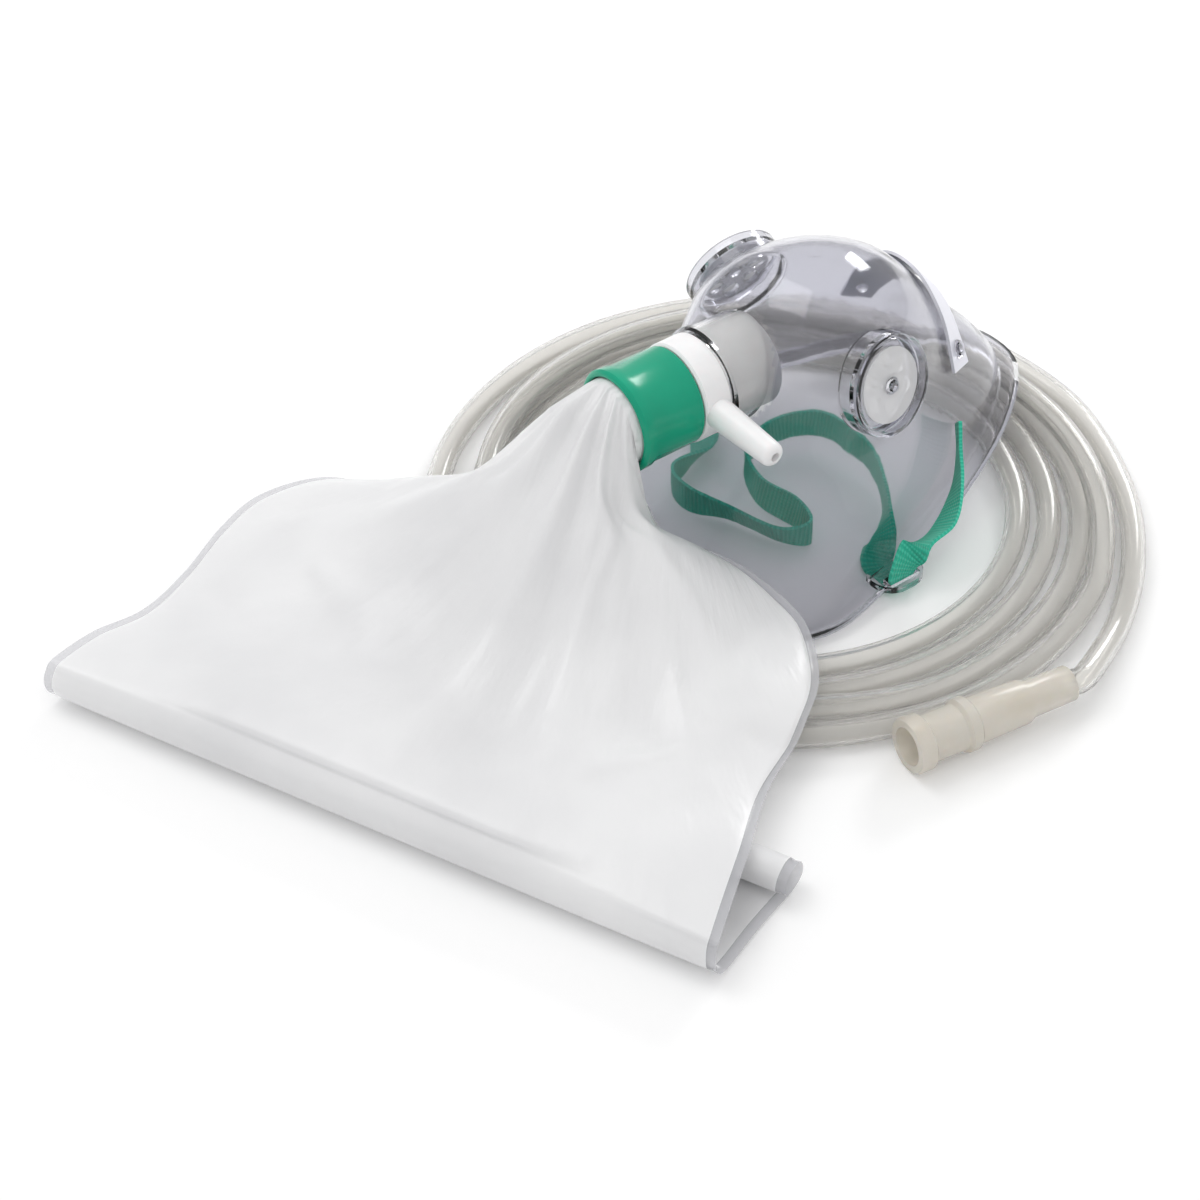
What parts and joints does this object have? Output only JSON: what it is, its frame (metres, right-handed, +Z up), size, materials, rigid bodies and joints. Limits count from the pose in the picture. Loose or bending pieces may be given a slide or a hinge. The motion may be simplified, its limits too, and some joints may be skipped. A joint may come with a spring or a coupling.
{
  "type": "oxygen face mask",
  "caption": "Clear non-rebreather oxygen mask lying on a table with its film reservoir bag rolled under, green strap, and coiled clear tubing with a connector.",
  "frame": {"origin": "on the table, under the middle of the mask and bag without the tubing", "axes": "+Z up from the table; +X to the right of the picture, from the bag's far corner towards the nose; +Y away from the camera"},
  "size_m": [0.2752, 0.2513, 0.0726],
  "materials": {
    "clear_vinyl": "clear soft vinyl with a faint grey-violet tint",
    "clip_metal": "soft bendable strip, satin",
    "valve_film": "thin pale translucent valve film",
    "green_elastic": "woven elastic band",
    "milky_plastic": "milky white, satin",
    "green_plastic": "glossy green",
    "bag_film": "thin milky film, soft sheen",
    "clear_tubing": "clear tubing, faintly warm grey",
    "cream_plastic": "translucent cream"
  },
  "bodies": {
    "root": {"mask_shell": "clear_vinyl", "nose_clip": "clip_metal", "exhale_flap_near": "valve_film", "exhale_flap_far": "valve_film", "inhale_flap": "valve_film", "head_strap": "green_elastic", "valve_body": "milky_plastic", "bag_collar": "green_plastic", "reservoir_bag": "bag_film", "tubing_coil": "clear_tubing", "tubing_loop": "clear_tubing", "tubing_mask_end": "clear_tubing", "supply_connector": "cream_plastic", "mask_end_connector": "cream_plastic"}
  },
  "joints": []
}
